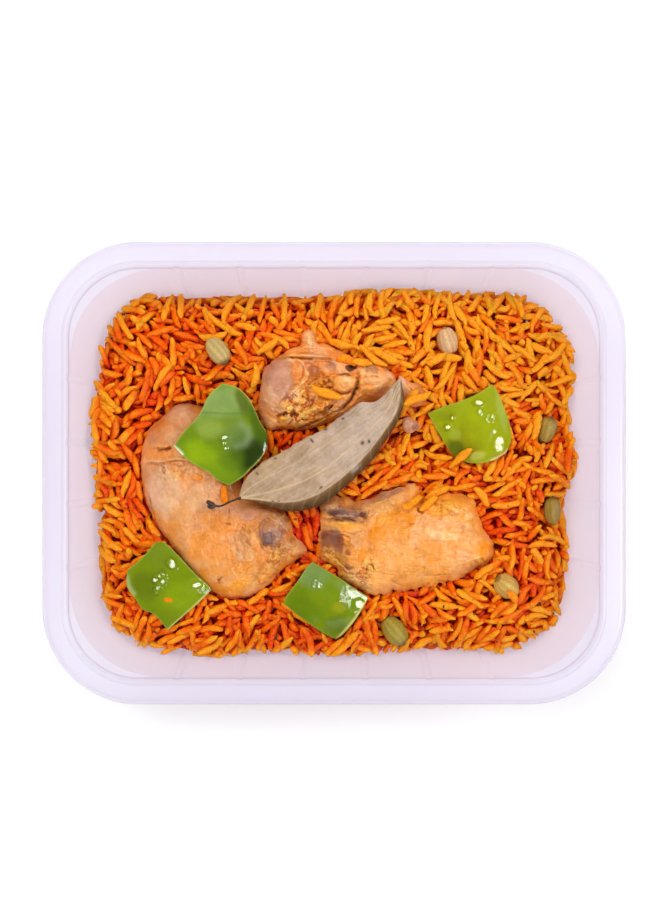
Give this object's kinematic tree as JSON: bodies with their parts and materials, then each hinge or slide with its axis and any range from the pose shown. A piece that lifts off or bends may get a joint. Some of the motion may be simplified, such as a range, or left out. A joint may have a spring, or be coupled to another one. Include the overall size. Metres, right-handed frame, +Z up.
{
  "type": "jollof rice in a tray",
  "caption": "Orange long-grain jollof rice filling a translucent rounded-rectangular takeaway tray, topped with chicken pieces, green pepper squares, a bay leaf and cardamom pods.",
  "frame": {"origin": "centre of the tray's flat underside, on the surface it stands on", "axes": "+X along the tray's long side, +Y along its short side, +Z up out of its open top"},
  "size_m": [0.227, 0.18, 0.05],
  "materials": {
    "tray": "smooth, milky translucent",
    "rice": "oily cooked grains, semi-gloss",
    "chicken": "moist cooked meat, semi-gloss",
    "pepper": "glossy waxy skin",
    "leaf": "dry matte leaf with fine veins",
    "cardamom": "matte ribbed husk"
  },
  "bodies": {
    "root": {"tray": "tray", "rice": "rice", "bay_leaf": "leaf", "pepper_1": "pepper", "pepper_2": "pepper", "pepper_3": "pepper", "pepper_4": "pepper", "chicken_thigh": "chicken", "chicken_breast": "chicken", "chicken_chunk": "chicken", "chicken_shred_1": "chicken", "chicken_shred_2": "chicken", "cardamom_1": "cardamom", "cardamom_2": "cardamom", "cardamom_3": "cardamom", "cardamom_4": "cardamom", "cardamom_5": "cardamom", "cardamom_6": "cardamom"}
  },
  "joints": []
}
